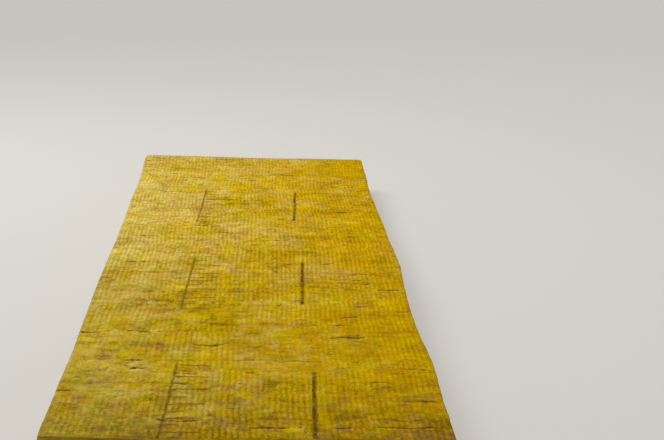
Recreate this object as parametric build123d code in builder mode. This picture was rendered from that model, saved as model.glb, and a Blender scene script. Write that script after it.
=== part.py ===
from build123d import *
import os
from math import cos, pi

os.makedirs("parts", exist_ok=True)

# A mineral wool mat, unrolled and lying flat on its underside. Millimetres.
# Origin at the middle of the underside. +X across the mat, +Y along it, +Z up.

length = 3500.0
width = 1000.0       # where the mat is widest
thickness = 150.0    # where the mat is thickest

# The wool gives way at its edges, so they are round.
top_round = 11.0
bottom_round = 6.0
corner_round = 16.0

# The long edges wander inwards in slow waves, the right one more than the left.
left_wander = 1.5
left_pitch = 1300.0
right_wander = 5.0
right_pitch = 1900.0

# Low swells run across the top, left by the turns of the roll, on a slower rise and fall.
swell_height = 2.5
swell_pitch = 430.0
rise_height = 1.5
rise_pitch = 1500.0

points_per_wave = 6
half_length = length / 2
half_width = width / 2
beyond = width / 10  # how far the outline that cuts the top runs past the mat


def dip(along, height, pitch):
    """A wave that is 0 at the near end, and twice its height lower halfway through its pitch."""
    return height * (1 - cos(2 * pi * along / pitch))


def stations(pitch, start, end):
    """Distances along the mat, from start to end, close enough to draw waves of that pitch."""
    steps = max(4, round(points_per_wave * (end - start) / pitch))
    return [start + (end - start) * i / steps for i in range(steps + 1)]


def left_edge(along):
    return (dip(along, left_wander, left_pitch) - half_width, along - half_length)


def right_edge(along):
    return (half_width - dip(along, right_wander, right_pitch), along - half_length)


def top_line(along):
    drop = dip(along, swell_height, swell_pitch) + dip(along, rise_height, rise_pitch)
    return (along - half_length, thickness - drop)


with BuildPart() as wool_mat:
    # The outline from above gives the sides, the ends and the flat underside.
    with BuildSketch(Plane.XY):
        with BuildLine():
            left = Spline(*[left_edge(along) for along in stations(left_pitch, 0, length)])
            right = Spline(*[right_edge(along) for along in stations(right_pitch, 0, length)])
            Line(left @ 0, right @ 0)
            Line(left @ 1, right @ 1)
        make_face()
    extrude(amount=thickness + beyond)

    # What lies under the wavy top stays.
    with BuildSketch(Plane.YZ.offset(-half_width - beyond)):
        with BuildLine():
            top = Spline(*[top_line(along) for along in stations(swell_pitch, -beyond, length + beyond)])
            Polyline(
                top @ 0,
                (-half_length - beyond, -beyond),
                (half_length + beyond, -beyond),
                top @ 1,
            )
        make_face()
    extrude(amount=width + 2 * beyond, mode=Mode.INTERSECT)

    # The four upright corners first, then the rims that run round them.
    fillet(wool_mat.edges().filter_by(Axis.Z), corner_round)
    fillet(wool_mat.faces().sort_by(Axis.Z)[-1].edges(), min(top_round, 0.45 * thickness))
    fillet(wool_mat.faces().sort_by(Axis.Z)[0].edges(), min(bottom_round, 0.45 * thickness))

wool_mat.part.label = "wool_mat"
export_step(wool_mat.part, "parts/wool_mat.step")
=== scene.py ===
import math
from functools import partial

import bpy
import numpy as np
from mathutils import Matrix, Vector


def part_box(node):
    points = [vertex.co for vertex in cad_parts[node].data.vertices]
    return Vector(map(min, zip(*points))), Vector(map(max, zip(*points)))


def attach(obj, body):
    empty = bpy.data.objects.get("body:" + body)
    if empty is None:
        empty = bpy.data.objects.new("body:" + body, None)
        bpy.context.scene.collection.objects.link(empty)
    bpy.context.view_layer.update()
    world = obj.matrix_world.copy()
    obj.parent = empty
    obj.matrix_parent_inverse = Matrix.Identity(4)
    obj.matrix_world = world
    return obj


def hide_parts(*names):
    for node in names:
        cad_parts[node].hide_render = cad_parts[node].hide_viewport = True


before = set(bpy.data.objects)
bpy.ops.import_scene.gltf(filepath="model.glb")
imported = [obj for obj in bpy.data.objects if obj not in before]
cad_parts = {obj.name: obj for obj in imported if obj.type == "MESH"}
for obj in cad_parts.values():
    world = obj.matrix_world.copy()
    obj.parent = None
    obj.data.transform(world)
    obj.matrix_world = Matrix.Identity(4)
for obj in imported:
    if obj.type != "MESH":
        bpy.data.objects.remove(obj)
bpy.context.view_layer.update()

matLow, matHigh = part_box("wool_mat")
matWidth = matHigh.x - matLow.x
matLength = matHigh.y - matLow.y
matThick = matHigh.z - matLow.z
centreX = (matLow.x + matHigh.x) / 2
centreY = (matLow.y + matHigh.y) / 2
print("frame loaded:", round(matWidth, 3), "x", round(matLength, 3), "x", round(matThick, 3), "m")


# Small tools for shapes

# 0 below the first number, 1 above the second, and a smooth rise between them.
def smoothRise(value, start, end):
    t = np.clip((value - start) / (end - start), 0, 1)
    return t * t * (3 - 2 * t)


# A bell curve: 1 at the middle, about a third at the half width, and nearly nothing at twice that.
def bell(fromMiddle, half):
    return np.exp(-(fromMiddle / half) ** 2)


# Soft random relief from -1 to 1: random numbers on a lattice, blended by smooth steps between its corners.
def softNoise(x, y, pitchX, pitchY, seed):
    size = 256
    shiftX, shiftY = 1000.37, 1000.71  # keeps the places above 0 and off the lattice's corners
    lattice = np.random.default_rng(seed).uniform(-1, 1, (size, size))
    gx, gy = x / pitchX + shiftX, y / pitchY + shiftY
    ix, iy = np.floor(gx).astype(int), np.floor(gy).astype(int)
    fx, fy = gx - ix, gy - iy
    fx, fy = fx * fx * (3 - 2 * fx), fy * fy * (3 - 2 * fy)
    nearLow, nearHigh = lattice[ix % size, iy % size], lattice[(ix + 1) % size, iy % size]
    farLow, farHigh = lattice[ix % size, (iy + 1) % size], lattice[(ix + 1) % size, (iy + 1) % size]
    return (nearLow * (1 - fx) + nearHigh * fx) * (1 - fy) + (farLow * (1 - fx) + farHigh * fx) * fy


# Several soft noises added up, each given as its share, its pitch one way and the other, and its seed.
def layeredNoise(x, y, layers):
    return sum(share * softNoise(x, y, pitchX, pitchY, seed) for share, pitchX, pitchY, seed in layers)


# Turns arrays of points and faces into a smooth-shaded mesh object at the origin.
def makeObject(name, points, faces, material, attributes=None):
    mesh = bpy.data.meshes.new(name)
    mesh.from_pydata(points.tolist(), [], faces)
    mesh.polygons.foreach_set("use_smooth", np.ones(len(mesh.polygons), bool))
    for key, values in (attributes or {}).items():
        mesh.attributes.new(key, "FLOAT", "POINT").data.foreach_set("value", values.astype(np.float32))
    mesh.update()
    mesh.materials.append(material)
    made = bpy.data.objects.new(name, mesh)
    bpy.context.scene.collection.objects.link(made)
    return made


# Small tools for materials

# An sRGB colour as written in hex, turned to the linear numbers that a shader works in.
def linearColour(hexText):
    parts = [int(hexText[i:i + 2], 16) / 255 for i in (1, 3, 5)]
    return tuple(c / 12.92 if c <= 0.04045 else ((c + 0.055) / 1.055) ** 2.4 for c in parts) + (1.0,)


# Adds one shader node and gives its outputs. Inputs are values or links, in the node's order or by name.
def addNode(tree, kind, inputs=(), stops=None, **settings):
    node = tree.nodes.new("ShaderNode" + kind)
    for name, value in settings.items():
        setattr(node, name, value)
    keyed = inputs if isinstance(inputs, dict) else dict(enumerate(inputs))
    for name, value in keyed.items():
        if isinstance(value, bpy.types.NodeSocket):
            tree.links.new(value, node.inputs[name])
        else:
            node.inputs[name].default_value = value
    if stops:
        ramp = node.color_ramp
        while len(ramp.elements) < len(stops):
            ramp.elements.new(0.5)
        for element, (place, hexText) in zip(ramp.elements, stops):
            element.position = place
            element.color = linearColour(hexText)
    return node.outputs


# A new material with an empty node tree.
def emptyMaterial(name):
    material = bpy.data.materials.new(name)
    material.use_nodes = True
    material.node_tree.nodes.clear()
    return material, material.node_tree


# Where several masks hold at once: the first one multiplied by each of the others.
def overlap(tree, mask, *others):
    for other in others:
        mask = addNode(tree, "Math", (mask, other), operation="MULTIPLY")[0]
    return mask


# A total that grows by each term: how far the term's value stands above its middle, times its amount.
def addUp(tree, total, *terms):
    for value, middle, amount in terms:
        above = addNode(tree, "Math", (value, middle), operation="SUBTRACT")[0]
        total = addNode(tree, "Math", (above, amount, total), operation="MULTIPLY_ADD")[0]
    return total


# A wave between -1 and 1: the cosine of the distance from its first crest, counted in pitches.
def cosineWave(tree, distance, pitch, crest=0.0):
    past = addNode(tree, "Math", (distance, crest), operation="SUBTRACT")[0]
    angle = addNode(tree, "Math", (past, 2 * math.pi / pitch), operation="MULTIPLY")[0]
    return addNode(tree, "Math", [angle], operation="COSINE")[0]


# A soft random pattern from 0 to 1, its features one pitch apart, in metres, times the stretch each way.
def randomPattern(tree, place, pitch, detail=2.0, stretch=(1, 1, 1), shift=0.0, **more):
    scale = tuple(1 / (pitch * s) for s in stretch)
    mapping = {"Vector": place, "Location": (shift, shift, shift), "Scale": scale}
    scaled = addNode(tree, "Mapping", mapping)[0]
    return addNode(tree, "TexNoise", {"Vector": scaled, "Scale": 1.0, "Detail": detail, **more})[0]


# The mat's form, in metres

matForm = {
    "topRound": 0.011,
    "bottomRound": 0.006,
    "cornerRound": 0.016,
    # Long waves, each with its height and its pitch along the mat.
    "leftWander": (0.0015, 1.30),
    "rightWander": (0.0050, 1.90),
    "swell": (0.0025, 0.43),         # low swells across the top, left by the turns of the roll
    "rise": (0.0015, 1.50),
    "rimSwell": 0.45,                # share of a swell that is left at the rims
    "rimFade": 0.20,                 # how far in from the rims it is whole
    # Soft wool swells a little beyond both long edges.
    "leftProud": 0.005,
    "rightProud": 0.006,
    "rightProudFrom": (0.15, 0.50),  # how far along the right edge this starts, and is whole
    "rightBulges": [(0.65, 0.16, 0.008), (1.62, 0.30, 0.0045)],  # how far along, half length, height
    # The far left corner has spread across, along and up, and the rest of that end by a share of it.
    "cornerSpread": (-0.011, 0.036, 0.006),
    "endSpread": 0.4,
    "spreadReach": (0.65, 0.60),     # how far this reaches across and along the mat
    # How far the near end reaches out at its left corner, and along the rest.
    "nearBow": (-0.011, 0.010),
    "bowStep": (0.04, 0.32),         # how far across it goes from the one to the other
    "bowFade": 0.35,                 # how far along the mat this reaches
    # The top's grid.
    "columns": 276,
    "folds": 54,                     # lines across the mat along which the unrolled wool gives
    "foldRows": (0, 0.055, 0.30, 0.70, 0.945),  # grid rows from one fold line to the next, as shares
    "foldUneven": 0.32,              # how far off its even place a line may lie, as a share of the spacing
    "foldMeander": 0.012,
    "meanders": [(1.0, 0.13, 1.0, 31), (0.80, 0.046, 1.0, 32), (0.16, 0.013, 1.0, 33)],
    # Rings round the sides, and the underside's grid, so many times coarser than the top's.
    "rimSteps": 4,
    "wallSteps": 12,
    "footSteps": 3,
    "underStride": 6,
}

# Relief of the top and the sides, in metres. Layers of soft noise are given as share, pitches and seed.
reliefForm = {
    # The curing belt's bars lie 15 mm apart and press ridges along the mat.
    "rungPitch": 0.0150,
    "rungHeight": 0.0007,
    "rungStrength": (0.55, 1.25),    # from the faintest ridge to the clearest
    "rungWobble": [(0.0020, 0.12, 0.40, 3)],
    "rowShift": 0.22,                # how far each row is shifted, and leans, as a share of the pitch
    "rowLean": 0.20,
    # The print comes and goes, and is clearer towards the right edge and the far end.
    "printZones": [(1.0, 0.17, 0.26, 11), (0.6, 0.06, 0.13, 12)],
    "printStep": (-0.85, 0.60),
    "printLeast": 0.25,
    "clearerRight": 0.5,
    "clearerFar": 0.8,
    "clearerFrom": 0.4,
    # It is broken at most fold lines.
    "gapPlaces": [(1.0, 0.16, 1.0, 13)],
    "gapStep": (-0.25, 0.75),
    "gapDepth": 0.9,
    "gapHalf": 0.011,
    # Soft lumps and low cross bands. The cut edges are straight, so little swells there.
    "lumpHeight": 0.0018,
    "lumps": [(1.0, 0.060, 0.075, 21), (0.5, 0.026, 0.050, 22)],
    "bandHeight": 0.0018,
    "bands": [(1.0, 0.30, 0.080, 23), (0.5, 0.12, 0.055, 24)],
    "calmLeast": 0.25,
    "calmStep": (0.010, 0.090),
    # Creases, with a raised lip beside them.
    "creaseDepth": 0.0050,
    "creaseWidth": 0.0042,
    "lipHeight": 0.0022,
    "lipPlace": 0.020,
    "lipHalf": 0.012,
    "smudgeHalf": 0.022,
    "faintDepth": 0.0010,            # fold lines without a crease are shallow and thin
    "faintHalf": 0.006,
    "faintPlaces": [(1.0, 0.09, 1.0, 17)],
    "faintStep": (-0.4, 0.6),
    # Creases scattered at random, most of them shallow.
    "creases": 90,
    "creaseHalf": (0.012, 0.075),
    "creaseStrength": (0.10, 0.85),
    "creaseBias": 1.6,
    "creaseLevel": 0.85,
    "creaseUneven": 0.45,
    "creaseGrain": 0.013,
    "farCreases": 0.5,               # share of their depth that those in the far half have
    # The sides show the wool's layers, and slow waves and torn places.
    "layerHeight": 0.0022,
    "sideLayers": [(1.0, 0.19, 0.026, 52), (0.7, 0.07, 0.019, 51)],
    "layersFrom": (0.024, 0.060),    # how far under the top the layers start, and are whole
    "sideRag": [(0.0009, 0.030, 0.025, 53)],
    "wallUneven": 0.0032,
    "sideWaves": [(0.9, 0.26, 0.30, 54)],
    "tornWaves": [(0.8, 0.10, 0.20, 55), (0.4, 0.035, 0.12, 56)],
    "tornPlaces": [(1.0, 0.34, 1.0, 57)],
    "tornStep": (-0.5, 0.7),
    "sideBack": 0.4,
    "smoothest": 0.15,
    # The right edge and the near end were torn and handled more.
    "rougherRight": (-0.3, 0.4),
    "rougherNear": 0.7,
}

# The clearest creases: how far along, how far across from the left edge and half length, then depth share.
clearCreases = [
    (0.03, 0.90, 0.11, 0.9), (0.05, 0.545, 0.055, 1.0), (0.06, 0.73, 0.03, 0.6), (0.12, 0.33, 0.05, 1.0),
    (0.16, 0.30, 0.03, 0.8), (0.30, 0.02, 0.03, 0.7), (0.40, 0.85, 0.04, 0.5), (0.48, 0.33, 0.04, 1.0),
    (0.53, 0.20, 0.03, 0.8), (0.60, 0.18, 0.03, 0.8), (0.71, 0.38, 0.06, 0.8), (0.79, 0.79, 0.05, 1.0),
    (0.86, 0.19, 0.06, 0.9), (0.87, 0.04, 0.06, 0.8), (1.01, 0.80, 0.03, 0.9), (1.08, 0.97, 0.03, 0.6),
    (1.12, 0.85, 0.04, 0.5), (1.22, 0.30, 0.05, 0.5), (1.30, 0.95, 0.05, 0.8), (1.40, 0.31, 0.12, 0.5),
    (1.62, 0.12, 0.08, 0.4), (1.90, 0.55, 0.08, 0.5), (2.15, 0.30, 0.10, 0.6), (2.40, 0.82, 0.08, 0.5),
    (2.62, 0.42, 0.13, 0.8), (2.80, 0.18, 0.08, 0.5), (2.95, 0.20, 0.06, 0.6), (3.10, 0.62, 0.10, 0.6),
    (3.35, 0.03, 0.04, 0.8), (3.43, 0.08, 0.04, 0.9), (3.42, 0.36, 0.04, 0.7),
]


# A wave that is 0 at the near end and twice its height lower halfway through its pitch.
def dip(along, wave):
    height, pitch = wave
    return height * (1 - np.cos(2 * np.pi * along / pitch))


# How far inside the nearest edge a point lies.
def insideEdge(x, y):
    return np.minimum(matWidth / 2 - np.abs(x - centreX), matLength / 2 - np.abs(y - centreY))


# Height of the plain top: the thickness less its swells, which are lower at the rims, and its slower rise.
def topHeight(x, y):
    along = y - matLow.y
    rim = matForm["rimSwell"]
    depth = rim + (1 - rim) * smoothRise(insideEdge(x, y), 0.0, matForm["rimFade"])
    return matHigh.z - dip(along, matForm["swell"]) * depth - dip(along, matForm["rise"])


# How far the right edge swells outwards: evenly past the near end, and more at each bulge, as a bell curve.
def rightSwell(along):
    swell = matForm["rightProud"] * smoothRise(along, *matForm["rightProudFrom"])
    for middle, half, height in matForm["rightBulges"]:
        swell = swell + height * bell(along - middle, half)
    return swell


# Moves points across so that both long edges wander, and what lies between them follows in proportion.
def wander(x, y):
    along = y - matLow.y
    rightShare = (x - matLow.x) / matWidth
    fromLeft = dip(along, matForm["leftWander"]) - matForm["leftProud"]
    fromRight = dip(along, matForm["rightWander"]) - rightSwell(along)
    return x + fromLeft * (1 - rightShare) - fromRight * rightShare


# The far end has spread a little, most at its left corner, by a share that fades across and along the mat.
def spreadFarEnd(points):
    reachAcross, reachAlong = matForm["spreadReach"]
    alongShare = smoothRise(points[:, 1], matHigh.y - reachAlong, matHigh.y)
    corner = 1 - smoothRise(points[:, 0], matLow.x, matLow.x + reachAcross)
    whole = alongShare * (matForm["endSpread"] + (1 - matForm["endSpread"]) * corner)
    upShare = (points[:, 2] - matLow.z) / matThick
    shares = np.stack([alongShare * corner, whole, whole * upShare], -1)
    return points + shares * np.array(matForm["cornerSpread"])


# The near end isn't cut quite square: it reaches out by a smooth step from its left corner.
def bowNearEnd(points):
    cornerReach, restReach = matForm["nearBow"]
    stepStart, stepEnd = matForm["bowStep"]
    step = smoothRise(points[:, 0], matLow.x + stepStart, matLow.x + stepEnd)
    fade = 1 - smoothRise(points[:, 1], matLow.y, matLow.y + matForm["bowFade"])
    bowed = points.copy()
    bowed[:, 1] -= (cornerReach + (restReach - cornerReach) * step) * fade
    return bowed


# Rounds a rectangular grid's corners: each square shell beyond a corner's centre becomes a quarter circle.
def roundCorners(x, y, coreX, coreY):
    dx, dy = np.abs(x) - coreX, np.abs(y) - coreY
    inCorner = (dx > 0) & (dy > 0)
    reach = np.maximum(dx, dy)
    ratio = np.minimum(dx, dy) / np.where(reach == 0, 1, reach)
    angle = np.where(dx >= dy, ratio * np.pi / 4, np.pi / 2 - ratio * np.pi / 4)
    newX = np.where(inCorner, coreX + reach * np.cos(angle), np.abs(x))
    newY = np.where(inCorner, coreY + reach * np.sin(angle), np.abs(y))
    return np.sign(x) * newX, np.sign(y) * newY


# Numbers of a grid's rim points, once round against the clock from its near left corner.
def rimLoop(columns, rows):
    number = np.arange((rows + 1) * (columns + 1)).reshape(rows + 1, columns + 1)
    return np.concatenate([number[0, :-1], number[:-1, -1], number[-1, :0:-1], number[:0:-1, 0]])


# Faces of a grid of points, given by their numbers. They look down if the grid is turned on its side.
def gridFaces(number):
    corners = [number[:-1, :-1], number[:-1, 1:], number[1:, 1:], number[1:, :-1]]
    return np.stack(corners, -1).reshape(-1, 4).tolist()


# Faces between two loops of as many points, the first one above the second.
def bandFaces(upper, lower):
    return np.stack([upper, lower, np.roll(lower, -1), np.roll(upper, -1)], -1).tolist()


# Where the fold lines lie: evenly spaced, then each but the first and last moved by a random share of that.
def foldLines():
    form = matForm
    lines = np.linspace(matLow.y + form["topRound"], matHigh.y - form["topRound"], form["folds"] + 1)
    spacing = lines[1] - lines[0]
    moves = np.random.default_rng(77).uniform(-1, 1, form["folds"] - 1)
    lines[1:-1] += moves * form["foldUneven"] * spacing
    return lines


# The top's grid. Rows crowd together at each fold line, so that a crease there has a sharp bottom, and they
# meander as the two nearest lines do. Each point has its place, its fold, its share of the way through that
# fold, the number of the nearest fold line, and its distance from that line.
def topGrid(lines):
    form = matForm
    columns, folds = form["columns"], form["folds"]
    shares = np.array(form["foldRows"])
    rowFold = np.append(np.repeat(np.arange(folds), len(shares)), folds - 1)
    rowShare = np.append(np.tile(shares, folds), 1.0)
    rowAt = lines[rowFold] * (1 - rowShare) + lines[rowFold + 1] * rowShare
    across = np.linspace(-1, 1, columns + 1) * (matWidth / 2 - form["topRound"])
    x, y = np.meshgrid(across, rowAt)
    fold = np.repeat(rowFold[:, None], columns + 1, 1)
    share = np.repeat(rowShare[:, None], columns + 1, 1)
    nearest = fold + (share > 0.5)
    fromFold = y - lines[nearest]
    bends = []
    for line in (fold, fold + 1):
        inside = smoothRise(np.minimum(line, folds - line), 0, 1.5)  # the outermost lines stay straight
        bends.append(form["foldMeander"] * inside * layeredNoise(x, line * 1.0, form["meanders"]))
    y = y + bends[0] * (1 - share) + bends[1] * share
    return x, y, fold, share, nearest, fromFold


# Depth share of the creases at each grid point: full at the middle of a crease and thin at both its ends.
def creaseShare(x, nearest, lines):
    form = reliefForm
    rng = np.random.default_rng(41)
    count = form["creases"]
    drawn = np.column_stack([
        rng.uniform(0, matLength, count),
        rng.uniform(0, matWidth, count),
        rng.uniform(*form["creaseHalf"], count),
        rng.uniform(*form["creaseStrength"], count) ** form["creaseBias"],
    ])
    drawn[:, 3] *= np.where(drawn[:, 0] > matLength / 2, form["farCreases"], 1)
    share = np.zeros_like(x)
    for along, middle, half, depth in clearCreases + drawn.tolist():
        fold = int(np.clip(np.abs(lines - matLow.y - along).argmin(), 1, len(lines) - 2))
        across = np.abs(x - matLow.x - middle) / half
        grain = softNoise(x, x * 0, form["creaseGrain"], 1, fold + 7)
        body = np.clip(1 - across ** 2, 0, 1) * (form["creaseLevel"] + form["creaseUneven"] * grain)
        share = np.maximum(share, np.where(nearest == fold, depth * body, 0))
    return share


# The belts' print: the number of the ridge at a point, how clear it is there, and where rows break.
def beltPrint(x, y, fold, share, nearest, fromFold):
    form = reliefForm
    rowShift, rowLean = np.random.default_rng(9).uniform(-1, 1, (2, matForm["folds"]))
    turn = (x + layeredNoise(x, y, form["rungWobble"])) / form["rungPitch"]
    turn += form["rowShift"] * rowShift[fold] + form["rowLean"] * rowLean[fold] * (share - 0.5)
    size = 128
    rungLattice = np.random.default_rng(5).uniform(*form["rungStrength"], (size, size))
    strength = rungLattice[np.round(turn).astype(int) % size, fold % size]
    towardsFar = smoothRise(y, matLow.y + form["clearerFrom"], centreY)
    clearer = form["clearerRight"] * (x - centreX) / matWidth + form["clearerFar"] * towardsFar
    zone = smoothRise(layeredNoise(x, y, form["printZones"]) + clearer, *form["printStep"])
    gap = smoothRise(layeredNoise(x, nearest * 1.0, form["gapPlaces"]), *form["gapStep"])
    unbroken = 1 - form["gapDepth"] * gap * bell(fromFold, form["gapHalf"])
    dash = strength * unbroken * (form["printLeast"] + (1 - form["printLeast"]) * zone)
    return turn, dash, gap


# The top's relief: ridges, as a cosine, soft lumps, low bands, creases with lips, and faint fold lines.
def topRelief(x, y, fold, share, nearest, fromFold, lines):
    form = reliefForm
    turn, dash, gap = beltPrint(x, y, fold, share, nearest, fromFold)
    rungs = 0.5 * np.cos(2 * np.pi * turn) * dash
    calm = form["calmLeast"] + (1 - form["calmLeast"]) * smoothRise(insideEdge(x, y), *form["calmStep"])
    crease = creaseShare(x, nearest, lines)
    faint = smoothRise(layeredNoise(x, nearest * 1.0, form["faintPlaces"]), *form["faintStep"])
    height = (
        form["rungHeight"] * rungs
        + form["lumpHeight"] * layeredNoise(x, y, form["lumps"]) * calm
        + form["bandHeight"] * layeredNoise(x, y, form["bands"]) * calm
        - form["creaseDepth"] * crease * bell(fromFold, form["creaseWidth"])
        + form["lipHeight"] * crease * bell(fromFold - form["lipPlace"], form["lipHalf"])
        - form["faintDepth"] * faint * bell(fromFold, form["faintHalf"])
    )
    smudge, apart = crease * bell(fromFold, form["smudgeHalf"]), np.abs(fromFold)
    marks = {"crease": crease, "smudge": smudge, "apart": apart, "turn": turn, "dash": dash, "gap": gap}
    return height, marks


# Rings from the rim of the top down to the underside: quarter circles above and below a straight wall. Each
# gives how far it lies in from the outline, how high it lies, and how far it faces outwards.
def sideRings(edgeTop):
    form = matForm
    topRound, foot = form["topRound"], form["bottomRound"]
    rings = []
    for angle in np.linspace(0, np.pi / 2, form["rimSteps"] + 1)[1:]:
        sine, cosine = math.sin(angle), math.cos(angle)
        rings.append((topRound * (1 - sine), edgeTop - topRound * (1 - cosine), sine))
    for part in np.linspace(0, 1, form["wallSteps"] + 1)[1:]:
        rings.append((0.0, (edgeTop - topRound) * (1 - part) + foot * part, 1.0))
    for angle in np.linspace(0, np.pi / 2, form["footSteps"] + 1)[1:]:
        sine, cosine = math.sin(angle), math.cos(angle)
        rings.append((foot * (1 - cosine), np.full_like(edgeTop, foot * (1 - sine)), cosine))
    return rings


# How far a ring stands proud: long layers, thin in height, over slow waves and torn places.
def sideRelief(distance, height, edgeTop, rougher, lean):
    form = reliefForm
    layers = layeredNoise(distance, height, form["sideLayers"]) - 0.5
    torn = smoothRise(layeredNoise(distance, height * 0, form["tornPlaces"]), *form["tornStep"])
    waves = layeredNoise(distance, height, form["sideWaves"])
    uneven = waves + torn * layeredNoise(distance, height, form["tornWaves"]) - form["sideBack"]
    depth = form["wallUneven"] * (form["smoothest"] + (1 - form["smoothest"]) * rougher)
    belowRim = smoothRise(edgeTop - height, *form["layersFrom"]) * lean
    ragged = layeredNoise(distance, height, form["sideRag"])
    return belowRim * form["layerHeight"] * layers + lean * (ragged + depth * uneven)


# The underside: a coarse flat grid inside the last ring, and a strip of triangles between the two.
def underside(columns, rows, lastLoop, firstNumber):
    stride = matForm["underStride"]
    columns, rows = columns // stride, rows // stride
    inner = matForm["cornerRound"] + matForm["bottomRound"]
    spanX = np.linspace(-1, 1, columns + 1) * (matWidth / 2 - inner) + centreX
    spanY = np.linspace(-1, 1, rows + 1) * (matLength / 2 - inner) + centreY
    x, y = np.meshgrid(spanX, spanY)
    points = np.stack([wander(x, y), y, np.full_like(x, matLow.z)], -1).reshape(-1, 3)
    number = firstNumber + np.arange(len(points)).reshape(rows + 1, columns + 1)
    loop = firstNumber + rimLoop(columns, rows)
    nearest = loop[((np.arange(len(lastLoop)) + stride // 2) // stride) % len(loop)]
    middles = np.arange(len(loop)) * stride + stride // 2
    faces = gridFaces(number.T)
    faces += np.stack([lastLoop, nearest, np.roll(lastLoop, -1)], -1).tolist()
    faces += np.stack([lastLoop[middles], loop, np.roll(loop, -1)], -1).tolist()
    return points, faces


# The whole mat as one closed surface: a relief grid on top, rings down its sides, and a flat underside.
def matSurface():
    form = matForm
    columns, rows = form["columns"], form["folds"] * len(form["foldRows"])
    cornerRound = form["cornerRound"]
    coreX, coreY = matWidth / 2 - cornerRound, matLength / 2 - cornerRound

    lines = foldLines()
    x, y, fold, share, nearest, fromFold = topGrid(lines)
    x, y = roundCorners(x, y - centreY, coreX, coreY)
    x, y = x + centreX, y + centreY
    relief, marks = topRelief(x, y, fold, share, nearest, fromFold, lines)
    top = np.stack([wander(x, y), y, topHeight(x, y) + relief], -1).reshape(-1, 3)

    # The rim, measured from the mat's centre, and the way outwards from it.
    loop = rimLoop(columns, rows)
    flatX, flatY = x.ravel()[loop] - centreX, y.ravel()[loop] - centreY
    coreLoopX, coreLoopY = np.clip(flatX, -coreX, coreX), np.clip(flatY, -coreY, coreY)
    outX, outY = flatX - coreLoopX, flatY - coreLoopY
    size = np.hypot(outX, outY)
    outX, outY = outX / size, outY / size
    distance = np.concatenate([[0], np.cumsum(np.hypot(np.diff(flatX), np.diff(flatY)))])
    print("top grid:", columns, "x", rows, "cells, rim", round(distance[-1], 2), "m round")

    edgeTop = topHeight(flatX + centreX, flatY + centreY)
    rimRelief = relief.ravel()[loop]
    rougherRight = smoothRise(flatX / matWidth, *reliefForm["rougherRight"])
    rougherNear = reliefForm["rougherNear"] * smoothRise(-flatY, coreY, matLength / 2)
    rougher = np.maximum(rougherRight, rougherNear)
    points, faces = [top], gridFaces(np.arange(len(top)).reshape(rows + 1, columns + 1))
    attributes = {key: [values.ravel()] for key, values in marks.items()}
    attributes["side"] = [np.zeros(len(top))]
    upperLoop = loop
    for ring, (inset, height, lean) in enumerate(sideRings(edgeTop)):
        height = height + matLow.z
        reach = cornerRound - inset + sideRelief(distance, height, edgeTop, rougher, lean)
        fade = 1 - lean if ring < form["rimSteps"] else 0.0
        ringX = centreX + coreLoopX + outX * reach
        ringY = centreY + coreLoopY + outY * reach
        points.append(np.stack([wander(ringX, ringY), ringY, height + fade * rimRelief], -1))
        for key, values in marks.items():
            kept = values.ravel()[loop]
            attributes[key].append(kept if key in ("turn", "apart") else kept * fade)
        attributes["side"].append(np.full(len(loop), lean))
        lowerLoop = len(top) + ring * len(loop) + np.arange(len(loop))
        faces += bandFaces(upperLoop, lowerLoop)
        upperLoop = lowerLoop

    underPoints, underFaces = underside(columns, rows, upperLoop, upperLoop[-1] + 1)
    points.append(underPoints)
    for parts in attributes.values():
        parts.append(np.zeros(len(underPoints)))
    shaped = bowNearEnd(spreadFarEnd(np.concatenate(points)))
    return shaped, faces + underFaces, {key: np.concatenate(parts) for key, parts in attributes.items()}


# Stone wool, oven cured between two ribbed belts: resin turns the spun stone fibres golden yellow. The eye
# sees a dull felt of fine fibres, rows of dashes pressed by the belts, and blotches of richer resin.

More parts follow.
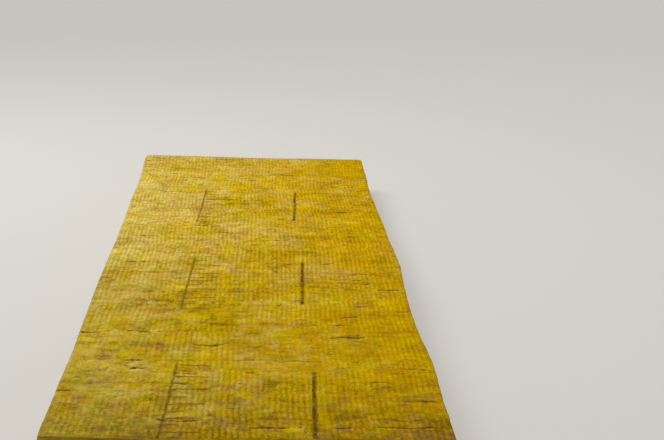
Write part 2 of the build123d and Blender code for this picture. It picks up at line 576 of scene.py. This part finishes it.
woolLook = {
    # Colours from pits to tips, where the resin is rich and where it is lean. The dark pits and pale tips
    # are partly painted shade and painted highlight on the wool's relief.
    "rich": [(0.12, "#805E06"), (0.36, "#B79103"), (0.58, "#D0A904"), (0.85, "#E6C41A")],
    "lean": [(0.12, "#8A6B1C"), (0.36, "#B69234"), (0.60, "#D0AF56"), (0.88, "#E6CA80")],
    # Distances in metres.
    "fibreWidth": 0.0016,         # four times as coarse as the real fibre bundles, so that they show
    "fibreLength": 0.020,
    "fibreWays": [(14, 0.0), (74, 3.1), (132, 7.7)],  # degrees, and where in the noise each way is cut from
    "beadPitch": 0.026,
    "beadWander": 0.055,
    "creaseJag": 0.020,           # how far a crease's edge wanders
    "looseTuft": (0.616, 0.060),  # across and along: the clearest one, beside the nearest cutting mark
    "looseFray": 0.110,
    "resinWave": (0.90, 1.60),    # how far along the resin is richest, and the pitch from there
    "nearEnd": (0.02, 0.50),      # how far along the dull near end fades out
    # Tone goes from 0, the pits, to 1, the tips, and leanness from 0 to 1. Where tone follows the tufts and
    # the other relief, it is painted shade in the low places and painted highlight on the high ones.
    "meanTone": 0.47,
    # painted shade: the near end's tone is darker, as if less light reached it
    "nearPaintedShade": -0.20,            # the near end is darker
    "meanLeanness": 0.76,
    "curlPlaceNear": 0.05,        # and has more curls
    # Random patterns in the wool. The pitch is the real distance between their features, in metres.
    "patterns": {
        "blotch": {"pitch": 0.30},
        "patch": {
            "pitch": 0.085, "detail": 6.0, "stretch": (1, 1.5, 1),
            "Distortion": 0.7, "Roughness": 0.62,
        },
        "otherPatch": {
            "pitch": 0.119, "detail": 6.0, "stretch": (1, 1.4, 1), "shift": 5.3,
            "Distortion": 0.9, "Roughness": 0.60,
        },
        "tuft": {"pitch": 0.017, "detail": 4.0, "stretch": (1, 1.5, 1), "Roughness": 0.62},
        "grain": {"pitch": 0.0048, "stretch": (1, 1.6, 1)},
        "beadShift": {"pitch": 0.11, "shift": 2.9},
        "torn": {"pitch": 0.016, "shift": 10.7},
        "bands": {"pitch": 0.075, "detail": 4.0, "stretch": (4.0, 1, 1), "shift": 7.3, "Distortion": 0.4},
        "paleStreak": {
            "pitch": 0.010, "detail": 3.0, "stretch": (2.6, 1, 1), "shift": 6.2, "Distortion": 0.6,
        },
        "fleck": {
            "pitch": 0.021, "detail": 4.0, "stretch": (1, 1.6, 1), "shift": 12.4,
            "Distortion": 0.6, "Roughness": 0.6,
        },
        "warmth": {
            "pitch": 0.065, "detail": 5.0, "stretch": (1, 1.5, 1), "shift": 15.1,
            "Distortion": 0.8, "Roughness": 0.6,
        },
        "olive": {"pitch": 0.068, "detail": 4.0, "stretch": (1.5, 1, 1), "shift": 9.6, "Distortion": 1.0},
        "marked": {"pitch": 0.046, "detail": 5.0, "stretch": (1.5, 1, 1), "shift": 4.4, "Distortion": 1.4},
        "streak": {"pitch": 0.013, "detail": 3.0, "stretch": (2.8, 1, 1), "shift": 1.7, "Distortion": 0.6},
        "curl": {"pitch": 0.055, "stretch": (1.2, 1, 1), "shift": 3.3, "Distortion": 2.2},
        "curlPlace": {"pitch": 0.035, "detail": 3.0, "shift": 8.1},
        "layer": {"pitch": 0.0085, "detail": 3.0, "stretch": (11, 11, 1), "shift": 0.4, "Distortion": 0.15},
    },
    # Steps from one look to another: the two values each lies between, and what it goes from and to, else 0
    # to 1. The first ones go along the mat, by the share of its length from the near end.
    "alongSteps": {
        "tuftDepth": (0.2, 1.0, 0.70, 0.92),      # looser tufts towards the far end
        "dullNear": (0.0, 0.45, 0.80, 0.97),      # handling has rubbed the near end dull
        "dullFar": (0.6, 0.9, 1.0, 0.84),
        "leftFrom": (0.14, 0.26),
        "leftUntil": (0.83, 0.96, 1.0, -0.2),
        "leftTone": (0.36, 0.50, -0.055, 0.065),  # the left side is darker before the middle, then paler
        "waveHeight": (0.54, 0.68, -0.14, 0.0),
        "fleckDepth": (0.3, 1.0, 3.6, 2.8),
        "turnOfHue": (0.3, 1.0, 0.075, 0.05),
        "greenNear": (0.10, 0.35, 0.0028, 0.0),
    },
    # These go across it, by the share of its width from the left edge.
    "acrossSteps": {
        "smoothRight": (0.35, 0.95, 1.0, 0.82),  # handling has rubbed the right side smooth
        "leftSide": (0.22, 0.55, 1.0, 0.0),
        "hueAcross": (0.1, 0.9, 0.5099, 0.4973),
        "greenLeft": (0.2, 0.7, 1.0, 0.35),
    },
    # And these show a pattern, a wave or a distance in metres as a mark.
    "steps": {
        "onTop": (0.0, 0.6, 1.0, 0.0),
        "onSide": (0.45, 0.9),
        "ridge": (-1.0, 0.4, -1.0, 0.7),
        "bead": (-0.9, 0.5, 0.72, 1.0),
        "printOnTufts": (0.34, 0.52, 0.45, 1.0),
        "gapEdge": (0.0120, 0.0020),
        "creaseEdge": (0.0070, 0.0015),
        "lipEdge": (0.022, 0.012),
        "creased": (0.06, 0.45),
        "torn": (0.34, 0.54, 0.25, 1.0),
        "looseEdge": (0.040, 0.006),
        "paleStreaks": (0.58, 0.68),
        "olive": (0.58, 0.72, 0.0, 0.26),
        "mauve": (0.57, 0.70, 0.0, 0.50),
        "streak": (0.54, 0.66),
        "streakPlace": (0.52, 0.66, 0.03, 0.80),
        "curl": (0.013, 0.004),
        "curlPlace": (0.52, 0.58),
        "straw": (0.35, 0.60, 0.1, 0.6),
        "darkGap": (0.44, 0.30, 0.0, 0.85),
        "roughness": (0.3, 0.8, 1.0, 0.86),
    },
    # What each part of the look adds to the tone: its middle value, and how much for each step above that.
    # The print's ridges, the grain, the fibres and the pale streaks also raise the bump. So their tone is
    # painted highlight where the wool stands up and painted shade where it is low. Patches and bands are
    # the wool's own tone.
    "toneTerms": {
        "patch": (0.5, 0.84), "otherPatch": (0.5, 0.28), "bands": (0.5, 0.42), "grain": (0.5, 0.36),
        "fibre": (0.64, 0.27), "pressed": (0.0, 0.130), "paleStreaks": (0.0, 0.05), "gapLine": (0.1, -0.10),
        # the lip beside a crease is painted paler: a painted highlight
        "creaseLip": (0.0, 0.09), "loose": (0.0, 0.46),
    },
    # To the leanness: paler and leaner towards the left edge and the far end. This is partly the resin's
    # own spread and partly painted sheen of light glancing in from the left and along the far end.
    "leanAndSheenTerms": {
        "fromLeft": (0.0, -1.45), "fromNear": (0.0, 0.38), "blotch": (0.5, 1.6), "loose": (0.0, -0.25),
        "otherPatch": (0.5, 3.4),
    },
    # To the pattern of brown marks.
    "markTerms": {"nearEnd": (0.0, 0.070), "smudge": (0.0, 0.13), "loose": (0.0, -0.30)},
    # And to the relief that is too fine for the mesh, in millimetres.
    "bumpTerms": {
        "pressed": (0.0, 0.50), "gapLine": (0.0, -1.0), "tuft": (0.0, 4.2), "grain": (0.0, 1.3),
        "fibre": (0.0, 1.4), "streaks": (0.0, -1.2), "curls": (0.0, -1.0), "paleStreaks": (0.0, 1.0),
        "loose": (0.0, 7.0), "sideLayers": (0.0, 7.0),
    },
    # Marks that tint the wool, one over the other, with their strength and colour. The dark line along a
    # crease is painted shade.
    "tints": [
        ("oliveArea", 1.0, "#857418"), ("mauve", 1.0, "#8F6C42"), ("streaks", 0.55, "#62451F"),
        ("curls", 0.60, "#62451F"), ("creaseLine", 0.88, "#5E3A18"), ("straw", 1.0, "#BFA03E"),
        ("darkGap", 1.0, "#6B5218"), ("ink", 1.0, "#50351A"),
    ],
}

# Plain cutting marks stamped along the mat in sets: a thick dash, and a scale of ticks on a thin line.
inkMarks = {
    "pitch": 1.140,            # from one set to the next
    "firstMiddle": 0.240,      # from the near end
    "lastEnd": 3.05,           # from here to the far end the wool is bare
    "slant": 0.030,            # the stamp drifts this much across for each metre
    "dashAcross": 0.664,       # from the left edge
    "dashLength": 0.50,
    "dashWidth": 0.0100,
    "scaleAcross": 0.290,
    "scaleLength": 0.60,
    "scaleWidth": 0.0068,
    "scaleInk": 0.80,          # the scale is paler than the dash, and its ticks are paler than its line
    "tickInk": 0.85,
    "tickPitch": 0.050,
    "tickWidth": 0.0085,
    "shortTick": 0.045,
    "longTick": 0.095,
    "softEdge": (0.35, 0.80),  # where a stroke fades out, as shares of its width from its middle line
    "raggedEdge": 0.012,       # how far loose fibres shift the edges, and the ends
    "raggedEnd": 0.09,
    "hold": (0.36, 0.56, 0.42, 0.94),  # the stamp breaks up on loose fibres
    "catch": (-0.8, 0.4, 0.75, 1.0),   # and misses the valleys between ridges
}


# Share of ink at a point: 1 inside the dash, the scale's line and its ticks, with ragged and broken edges.
def inkShare(tree, wool):
    marks = inkMarks
    add = partial(addNode, tree)
    across, along = wool["across"], wool["along"]
    fray = (wool["tuft"], 0.5, marks["raggedEdge"])

    # Ink from 1 to 0 across a stroke's soft edge.
    def stroke(offCentre, width):
        start, end = marks["softEdge"]
        off = add("Math", [offCentre], operation="ABSOLUTE")[0]
        return add("MapRange", (off, width * start, width * end, 1.0, 0.0))[0]

    # How far along its set a point lies, from the set's middle, and how far across, less the stamp's drift.
    firstStart = matLow.y + marks["firstMiddle"] - marks["pitch"] / 2
    wrapped = add("Math", (along, firstStart + marks["pitch"], firstStart), operation="WRAP")[0]
    inSet = add("Math", (wrapped, firstStart + marks["pitch"] / 2), operation="SUBTRACT")[0]
    place = addUp(tree, across, fray, (inSet, 0.0, -marks["slant"]))
    raggedEnd = addUp(tree, inSet, (wool["tuft"], 0.5, marks["raggedEnd"]))
    fromMiddle = add("Math", [raggedEnd], operation="ABSOLUTE")[0]

    fromDash = add("Math", (place, matLow.x + marks["dashAcross"]), operation="SUBTRACT")[0]
    dashSpan = add("Math", (fromMiddle, marks["dashLength"] / 2), operation="LESS_THAN")[0]
    dash = overlap(tree, stroke(fromDash, marks["dashWidth"]), dashSpan)

    # Every second tick is long. The ticks stand on the right of the line.
    fromLine = add("Math", (place, matLow.x + marks["scaleAcross"]), operation="SUBTRACT")[0]
    onRight = add("Math", (fromLine, 0.0), operation="GREATER_THAN")[0]
    raggedAlong = addUp(tree, inSet, fray)
    ticks = []
    for every, length in ((1, marks["shortTick"]), (2, marks["longTick"])):
        fromTick = add("Math", (raggedAlong, every * marks["tickPitch"] / 2), operation="PINGPONG")[0]
        tickSpan = add("Math", (fromLine, length), operation="LESS_THAN")[0]
        ticks.append(overlap(tree, stroke(fromTick, marks["tickWidth"]), tickSpan))
    anyTick = add("Math", ticks, operation="MAXIMUM")[0]
    ticked = overlap(tree, anyTick, onRight, marks["tickInk"])
    scale = add("Math", (stroke(fromLine, marks["scaleWidth"]), ticked), operation="MAXIMUM")[0]
    scaleEnd = marks["scaleLength"] / 2 + marks["tickWidth"]
    scaleSpan = add("Math", (fromMiddle, scaleEnd), operation="LESS_THAN")[0]
    scale = overlap(tree, scale, scaleSpan, marks["scaleInk"])

    ink = add("Math", (scale, dash), operation="MAXIMUM")[0]
    marked = add("Math", (along, matLow.y + marks["lastEnd"]), operation="LESS_THAN")[0]
    hold = add("MapRange", (wool["tuft"], *marks["hold"]))[0]
    catch = add("MapRange", (wool["pressed"], *marks["catch"]))[0]
    return overlap(tree, ink, marked, hold, catch, wool["onTop"])


# Fibres as thin streaks: three noises stretched along different directions, the highest taken.
def fibreStreaks(tree, place):
    finest = (1 / woolLook["fibreLength"], 1 / woolLook["fibreWidth"], 1 / woolLook["fibreWidth"])
    best = None
    for degrees, shift in woolLook["fibreWays"]:
        turning = {"Location": (shift, shift, shift), "Rotation": (0, 0, math.radians(degrees))}
        turned = addNode(tree, "Mapping", {"Vector": place, **turning})[0]
        stretched = addNode(tree, "Mapping", {"Vector": turned, "Scale": finest})[0]
        fibres = {"Vector": stretched, "Scale": 0.5, "Detail": 1.0, "Distortion": 0.6}
        noise = addNode(tree, "TexNoise", fibres)[0]
        best = noise if best is None else addNode(tree, "Math", (best, noise), operation="MAXIMUM")[0]
    return best


# What the wool's looks start from, by name: places, what the mesh knows of each point, patterns and steps.
def woolStart(tree):
    add = partial(addNode, tree)
    place = add("TexCoord")["Object"]
    apart = add("SeparateXYZ", [place])
    wool = {"place": place, "across": apart[0], "along": apart[1], "fibre": fibreStreaks(tree, place)}
    wool["fromLeft"] = add("MapRange", (wool["across"], matLow.x, matHigh.x))[0]
    wool["fromNear"] = add("MapRange", (wool["along"], matLow.y, matHigh.y))[0]
    for name in ("crease", "apart", "smudge", "turn", "dash", "gap", "side"):
        wool[name] = add("Attribute", attribute_name=name)["Fac"]
    for name, settings in woolLook["patterns"].items():
        wool[name] = randomPattern(tree, place, **settings)
    for source, steps in (("fromNear", woolLook["alongSteps"]), ("fromLeft", woolLook["acrossSteps"])):
        wool.update({name: add("MapRange", (wool[source], *step))[0] for name, step in steps.items()})
    for name in ("onTop", "onSide"):
        wool[name] = add("MapRange", (wool["side"], *woolLook["steps"][name]))[0]
    start, end = (matLow.y + distance for distance in woolLook["nearEnd"])
    wool["nearEnd"] = add("MapRange", (wool["along"], start, end, 1.0, 0.0))[0]
    return wool


# The terms of one of the sums, with each name's value looked up.
def weighed(wool, terms):
    return [(wool[name], middle, amount) for name, (middle, amount) in woolLook[terms].items()]


# The belts' print: rows of long dashes, uneven in strength, faintly beaded, with a gap at each fold.
def pressedPrint(tree, wool):
    add, steps = partial(addNode, tree), woolLook["steps"]
    beadPlace = addUp(tree, wool["along"], (wool["beadShift"], 0.0, woolLook["beadWander"]))
    ridge = add("MapRange", (cosineWave(tree, wool["turn"], 1.0), *steps["ridge"]))[0]
    bead = add("MapRange", (cosineWave(tree, beadPlace, woolLook["beadPitch"]), *steps["bead"]))[0]
    onTufts = add("MapRange", (wool["tuft"], *steps["printOnTufts"]))[0]
    return overlap(tree, ridge, bead, wool["dash"], wool["onTop"], onTufts)


# Gaps between rows of dashes are thin ragged lines. A crease gets a ragged line of painted shade, and the
# wool beside it, on its raised lip, a pale painted highlight.
def foldMarks(tree, wool):
    add, steps = partial(addNode, tree), woolLook["steps"]
    jagged = addUp(tree, wool["apart"], (wool["tuft"], 0.5, woolLook["creaseJag"]))
    gapEdge, creaseEdge, lipEdge = (
        add("MapRange", (jagged, *steps[name]))[0] for name in ("gapEdge", "creaseEdge", "lipEdge")
    )
    creased = add("MapRange", (wool["crease"], *steps["creased"]))[0]
    torn = add("MapRange", (wool["torn"], *steps["torn"]))[0]
    gapLine = overlap(tree, gapEdge, wool["gap"], wool["onTop"])
    creaseLine = overlap(tree, creaseEdge, creased, torn)
    beside = add("Math", (creased, creaseLine), operation="SUBTRACT")[0]
    return {"gapLine": gapLine, "creaseLine": creaseLine, "creaseLip": overlap(tree, lipEdge, beside)}


# One loose tuft stands up and catches the light: a spot round its middle, with a frayed edge.
def looseTuft(tree, wool):
    across, along = woolLook["looseTuft"]
    middle = (matLow.x + across, matLow.y + along, matHigh.z)
    distance = addNode(tree, "VectorMath", (wool["place"], middle), operation="DISTANCE")["Value"]
    frayed = addUp(tree, distance, (wool["tuft"], 0.5, woolLook["looseFray"]))
    spot = addNode(tree, "MapRange", (frayed, *woolLook["steps"]["looseEdge"]))[0]
    return overlap(tree, spot, wool["onTop"])


# Mauve-brown marks where the wool was bent or brushed: soft patches, thin streaks in them, and curls.
def brownMarks(tree, wool):
    add, steps = partial(addNode, tree), woolLook["steps"]
    marked = addUp(tree, wool["marked"], *weighed(wool, "markTerms"))
    mauve = add("MapRange", (marked, *steps["mauve"]))[0]
    streak = add("MapRange", (wool["streak"], *steps["streak"]))[0]
    streakPlace = add("MapRange", (marked, *steps["streakPlace"]))[0]
    offCurl = add("Math", (wool["curl"], 0.5), operation="SUBTRACT")[0]
    fromCurl = add("Math", [offCurl], operation="ABSOLUTE")[0]
    curl = add("MapRange", (fromCurl, *steps["curl"]))[0]
    placed = addUp(tree, wool["curlPlace"], (wool["nearEnd"], 0.0, woolLook["curlPlaceNear"]))
    curlPlace = add("MapRange", (placed, *steps["curlPlace"]))[0]
    streaks = overlap(tree, streak, streakPlace, wool["onTop"])
    return {"mauve": mauve, "streaks": streaks, "curls": overlap(tree, curl, curlPlace, wool["onTop"])}


# Cut sides have straw-coloured layers, with dark gaps between them.
def sideMarks(tree, wool):
    steps = woolLook["steps"]
    straw = addNode(tree, "MapRange", (wool["layer"], *steps["straw"]))[0]
    darkGap = addNode(tree, "MapRange", (wool["layer"], *steps["darkGap"]))[0]
    masks = {"straw": straw, "darkGap": darkGap, "sideLayers": wool["layer"]}
    return {name: overlap(tree, mask, wool["onSide"]) for name, mask in masks.items()}


# Tone, from pits to tips: the sum of its terms, with less contrast where handling has rubbed the wool,
# painted shade that darkens the near end, and a left side that is darker before the middle of the mat and
# paler beyond it.
def woolTone(tree, wool):
    meanTone = woolLook["meanTone"]
    tufts = (wool["tuft"], 0.5, wool["tuftDepth"])
    tone = addUp(tree, meanTone, tufts, *weighed(wool, "toneTerms"))
    contrast = overlap(tree, wool["dullNear"], wool["smoothRight"], wool["dullFar"])
    leftSide = overlap(tree, wool["leftSide"], wool["leftFrom"], wool["leftUntil"])
    nearShadeTerm, leftTerm = (wool["nearEnd"], 0.0, woolLook["nearPaintedShade"]), (leftSide, 0.0, wool["leftTone"])
    return addUp(tree, meanTone, (tone, meanTone, contrast), nearShadeTerm, leftTerm)


# The resin was sprayed unevenly, in a slow wave along the near half, and it goes from rich and deep gold to
# lean and pale. Towards the left edge and the far end it is also paler by painted sheen. Its hue turns from
# greenish at the left edge to orange at the right one.
def resinColour(tree, wool, tone):
    richest, wavePitch = woolLook["resinWave"]
    wave = cosineWave(tree, wool["along"], wavePitch, matLow.y + richest)
    leanAndSheen = addUp(
        tree, woolLook["meanLeanness"], (wave, 0.0, wool["waveHeight"]), *weighed(wool, "leanAndSheenTerms"),
        (wool["fleck"], 0.5, wool["fleckDepth"]),
    )
    rich, lean = (addNode(tree, "ValToRGB", [tone], stops=woolLook[name])[0] for name in ("rich", "lean"))
    share = addNode(tree, "MapRange", [leanAndSheen])[0]
    body = addNode(tree, "Mix", {0: share, 6: rich, 7: lean}, data_type="RGBA")[2]
    greener = overlap(tree, wool["greenNear"], wool["greenLeft"])
    hue = addUp(tree, wool["hueAcross"], (wool["warmth"], 0.5, wool["turnOfHue"]), (greener, 0.0, 1.0))
    return addNode(tree, "HueSaturation", {"Hue": hue, "Color": body})[0]


# The whole material: the resin's colour, tinted by each mark in turn, on a rough surface with fine bumps.
def makeStoneWool():
    material, tree = emptyMaterial("stone_wool_oven_cured")
    add, steps = partial(addNode, tree), woolLook["steps"]
    wool = woolStart(tree)
    wool["pressed"] = pressedPrint(tree, wool)
    wool["loose"] = looseTuft(tree, wool)
    wool["paleStreaks"] = add("MapRange", (wool["paleStreak"], *steps["paleStreaks"]))[0]
    wool["oliveArea"] = add("MapRange", (wool["olive"], *steps["olive"]))[0]
    wool["ink"] = inkShare(tree, wool)
    for marks in (foldMarks, brownMarks, sideMarks):
        wool.update(marks(tree, wool))

    body = resinColour(tree, wool, woolTone(tree, wool))
    for mark, strength, colour in woolLook["tints"]:
        share = overlap(tree, wool[mark], strength)
        body = add("Mix", {0: share, 6: body, 7: linearColour(colour)}, data_type="RGBA")[2]
    relief = addUp(tree, 0.0, *weighed(wool, "bumpTerms"))
    bump = add("Bump", {"Strength": 1.0, "Distance": 0.001, "Height": relief})[0]
    roughness = add("MapRange", (wool["fibre"], *steps["roughness"]))[0]
    looks = {"Base Color": body, "Roughness": roughness, "Normal": bump, "Specular IOR Level": 0.0}
    add("OutputMaterial", {"Surface": add("BsdfPrincipled", looks)[0]})
    print("stone wool made:", len(tree.nodes), "nodes")
    return material


stoneWool = makeStoneWool()
points, faces, attributes = matSurface()
mat = makeObject("wool_mat_body", points, faces, stoneWool, attributes)
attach(mat, "root")
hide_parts("wool_mat")
print("mat:", len(points), "points,", len(mat.data.loops) - 2 * len(mat.data.polygons), "triangles")


# The stage

stage = {
    "floorColour": "#D6D3CC",
    "floorReach": 60.0,
    "floorDrop": 0.0005,   # the floor lies this far under the mat
    "ownGlow": 0.66,       # share of the floor's and the room's colour that the camera sees evenly lit
    "wallGlow": 0.82,      # the same for the wall beyond the floor
    "worldLight": 0.38,
    "sunLight": 0.62,
    "sunAngle": 0.6,
    "sunTurn": (0.75, 0.0, 4.09),
    "keyPlace": (-2.6, 2.2, 4.4),
    "keySize": 2.6,
    "keyPower": 208.0,
}


# 1 for a ray that shows the background: straight from the camera, or by way of gloss or glass.
def backgroundRay(tree):
    path = addNode(tree, "LightPath")
    seen = addNode(tree, "Math", (path["Is Camera Ray"], path["Is Glossy Ray"]), operation="MAXIMUM")[0]
    return addNode(tree, "Math", (seen, path["Is Transmission Ray"]), operation="MAXIMUM")[0]


# Pale matt floor. The camera sees part of its colour evenly lit, and the rest with the mat's shadow on it.
def makeFloor():
    material, tree = emptyMaterial("pale_studio_floor")
    colour = linearColour(stage["floorColour"])
    looks = {"Base Color": colour, "Roughness": 0.9, "Specular IOR Level": 0.2}
    shader = addNode(tree, "BsdfPrincipled", looks)[0]
    glow = addNode(tree, "Emission", {"Color": colour, "Strength": 1.0})[0]
    share = overlap(tree, backgroundRay(tree), stage["ownGlow"])
    both = addNode(tree, "MixShader", (share, shader, glow))[0]
    addNode(tree, "OutputMaterial", {"Surface": both})
    reach, floorZ = stage["floorReach"], matLow.z - stage["floorDrop"]
    across, along = [-reach, reach, reach, -reach], [-reach, -reach, reach, reach]
    corners = np.column_stack([across, along, [floorZ] * 4])
    floor = makeObject("studio_floor", corners, [[0, 1, 2, 3]], material)


# Puts a new light or camera into the scene.
def addToScene(name, data):
    made = bpy.data.objects.new(name, data)
    bpy.context.scene.collection.objects.link(made)
    return made


# Even light from the whole room, a soft sun on all of the floor, and a large window beyond the far left.
def makeLight():
    world = bpy.data.worlds.new("studio")
    bpy.context.scene.world = world
    world.use_nodes = True
    tree = world.node_tree
    tree.nodes.clear()
    light = addNode(tree, "Background", {"Color": (1, 1, 1, 1), "Strength": stage["worldLight"]})[0]
    wallColour = linearColour(stage["floorColour"])
    wall = addNode(tree, "Background", {"Color": wallColour, "Strength": stage["wallGlow"]})[0]
    both = addNode(tree, "MixShader", (backgroundRay(tree), light, wall))[0]
    addNode(tree, "OutputWorld", {"Surface": both})

    sunData = bpy.data.lights.new("even_sun", "SUN")
    sunData.energy = stage["sunLight"]
    sunData.angle = stage["sunAngle"]
    addToScene("even_sun", sunData).rotation_euler = stage["sunTurn"]

    # The window looks at the middle of the mat.
    windowData = bpy.data.lights.new("window_side", "AREA")
    windowData.size = stage["keySize"]
    windowData.energy = stage["keyPower"]
    window = addToScene("window_side", windowData)
    window.location = stage["keyPlace"]
    window.rotation_mode = "QUATERNION"
    window.rotation_quaternion = (window.location - (matLow + matHigh) / 2).to_track_quat("Z", "Y")


# The camera: standing height, at the near end, looking along the mat and a little down.

cameraForm = {
    "place": (0.0107, -4.9935, 1.4533),
    "turn": 0.05313,       # radians from the mat's length towards the right
    "pitch": 0.23234,      # radians down
    "roll": 0.02509,       # radians
    "lens": 78.9,
    "sensor": 36.0,
}


# The camera's forward axis is turned from the mat's length and pitched down, and the others roll about it.
def makeCamera():
    form = cameraForm
    turn, pitch, roll = form["turn"], form["pitch"], form["roll"]
    level = math.cos(pitch)
    forward = np.array([math.sin(turn) * level, math.cos(turn) * level, -math.sin(pitch)])
    right = np.array([math.cos(turn), -math.sin(turn), 0.0])
    up = np.cross(right, forward)
    rolledRight = math.cos(roll) * right + math.sin(roll) * up
    rolledUp = math.cos(roll) * up - math.sin(roll) * right
    data = bpy.data.cameras.new("photo_view")
    data.lens = form["lens"]
    data.sensor_width = form["sensor"]
    camera = addToScene("photo_view", data)
    turned = Matrix(np.column_stack([rolledRight, rolledUp, -forward]).tolist())
    camera.matrix_world = Matrix.Translation(form["place"]) @ turned.to_4x4()
    bpy.context.scene.camera = camera


makeFloor()
makeLight()
makeCamera()
bpy.context.scene.view_settings.view_transform = "Standard"
print("stage, light and camera made")
